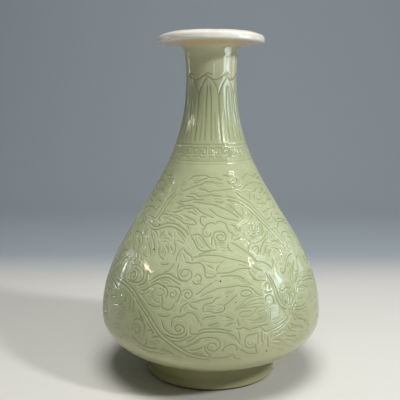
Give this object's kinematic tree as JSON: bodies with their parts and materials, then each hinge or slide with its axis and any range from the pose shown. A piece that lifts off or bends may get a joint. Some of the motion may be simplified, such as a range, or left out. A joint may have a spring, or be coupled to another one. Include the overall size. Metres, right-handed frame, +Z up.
{
  "type": "yuhuchunping vase",
  "caption": "Pear-shaped celadon bottle vase with a slender neck, a thick flat everted lip, a low full belly carved with a scroll, and a foot ring to stand on.",
  "frame": {"origin": "on the ground, at the middle of the foot ring", "axes": "+Z up along the axis of revolution; -Y faces the viewer of the picture"},
  "size_m": [0.21, 0.21, 0.32],
  "materials": {
    "celadon_glaze": "glossy",
    "lip_glaze": "glossy",
    "inner_glaze": "glossy",
    "base_glaze": "glossy",
    "clay": "matte",
    "burnt_clay": "matte",
    "luting_slip": "matte"
  },
  "bodies": {
    "root": {"foot_ring": "burnt_clay", "lower_body": "clay", "upper_body": "clay", "neck": "clay", "mouth_rim": "clay", "foot_slip_joint": "luting_slip", "belly_slip_joint": "luting_slip", "neck_slip_joint": "luting_slip", "rim_slip_joint": "luting_slip", "outer_glaze": "celadon_glaze", "lip_glaze": "lip_glaze", "inner_glaze": "inner_glaze", "base_glaze": "base_glaze"}
  },
  "joints": []
}
